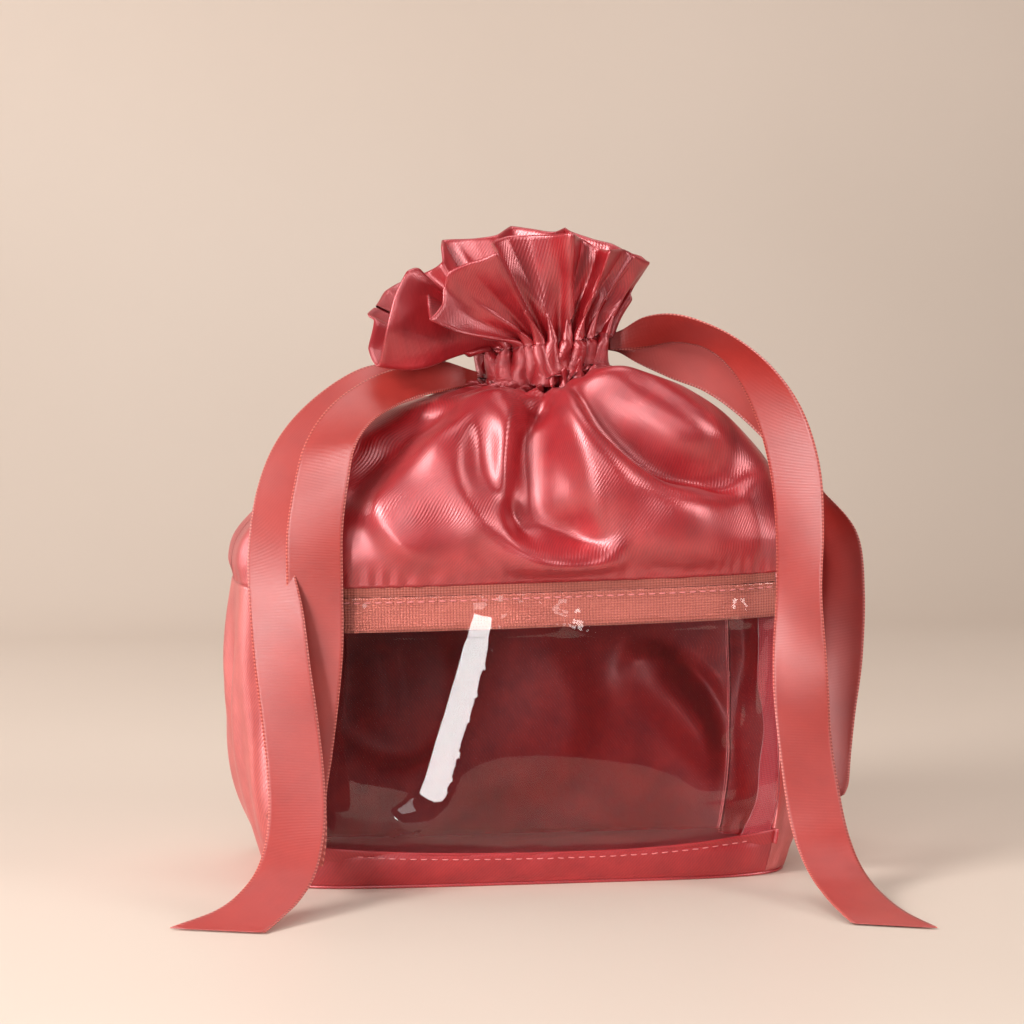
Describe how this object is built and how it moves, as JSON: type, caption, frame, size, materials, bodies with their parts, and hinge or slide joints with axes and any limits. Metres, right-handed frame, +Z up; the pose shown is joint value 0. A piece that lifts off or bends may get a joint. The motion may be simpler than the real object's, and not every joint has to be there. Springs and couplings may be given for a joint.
{
  "type": "drawstring vanity bag",
  "caption": "Free-standing satin drawstring vanity bag with a clear window in its front, drawn shut at a ruffled neck by ribbons.",
  "frame": {"origin": "on the floor under the middle of the bag's base", "axes": "+Z up, -Y out of the window side, +X to the right seen from the window side"},
  "size_m": [0.3214, 0.2378, 0.2981],
  "materials": {
    "satin": "glossy woven satin",
    "gusset_satin": "glossy woven satin",
    "tape": "ribbed woven tape",
    "film": "clear soft film",
    "ribbon": "satin ribbon",
    "binding": "woven binding"
  },
  "bodies": {
    "root": {"base_panel": "satin", "front_base_band": "satin", "window_film": "film", "window_top_tape": "tape", "left_gusset": "gusset_satin", "right_gusset": "gusset_satin", "back_panel": "satin", "left_seam_binding": "binding", "right_seam_binding": "binding", "front_top_panel": "satin", "back_top_panel": "satin", "left_ribbon": "ribbon", "right_ribbon": "ribbon"}
  },
  "joints": []
}
